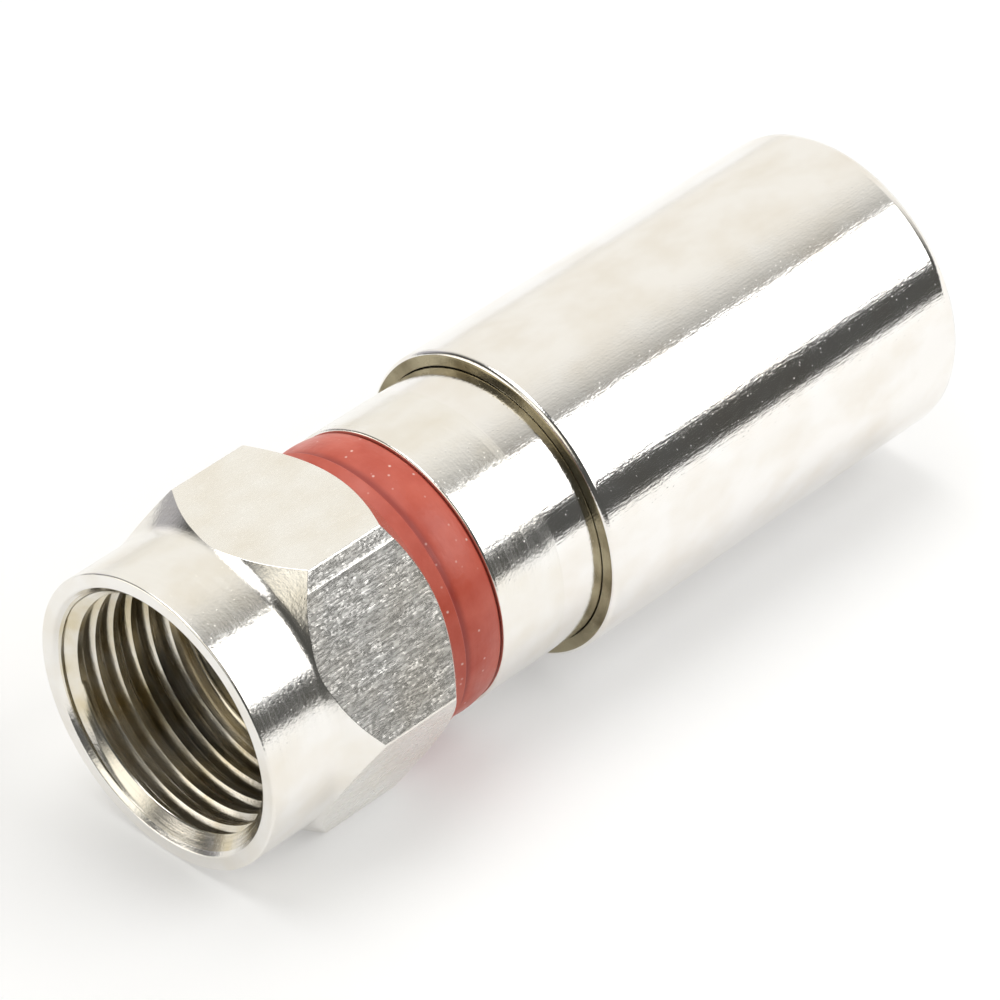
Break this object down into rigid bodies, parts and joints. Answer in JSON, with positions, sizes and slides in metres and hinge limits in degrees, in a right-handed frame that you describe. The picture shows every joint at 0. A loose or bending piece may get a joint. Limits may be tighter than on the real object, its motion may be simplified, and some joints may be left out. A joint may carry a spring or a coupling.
{
  "type": "coaxial compression plug",
  "caption": "F connector for coaxial cable: a hexagonal coupling nut that turns freely, a red colour ring, a plated barrel and a sleeve pushed home to grip the cable.",
  "frame": {"origin": "on the axis at the mating plane, the centre of the post's front face, which meets the rim of the port", "axes": "+X along the axis from the nut's mouth to the cable end, +Z square to the nut's upper flat, +Y towards a corner of the nut"},
  "size_m": [0.0328, 0.0128, 0.0116],
  "materials": {
    "nut_plating": "bright nickel plate over turned and milled brass",
    "post_plating": "nickel plate over turned brass",
    "seal_rubber": "smooth moulded rubber",
    "ring_plastic": "soft moulded plastic, satin",
    "barrel_plating": "bright nickel plate over turned brass",
    "sleeve_plating": "bright nickel plate over drawn and turned brass",
    "ferrule_plastic": "moulded plastic, satin"
  },
  "bodies": {
    "plug_body": {"inner_post": "post_plating", "nut_seal": "seal_rubber", "colour_ring": "ring_plastic", "barrel": "barrel_plating"},
    "nut": {"coupling_nut": "nut_plating"},
    "sleeve": {"compression_sleeve": "sleeve_plating", "gripping_ferrule": "ferrule_plastic"}
  },
  "joints": [
    {"name": "nut_swivel", "type": "hinge", "parent": "plug_body", "child": "nut", "pos_m": [0, 0, 0], "axis": [1, 0, 0], "continuous": true},
    {"name": "sleeve_slide", "type": "slide", "parent": "plug_body", "child": "sleeve", "axis": [-1, 0, 0], "range_m": [0, 0.0046]}
  ]
}
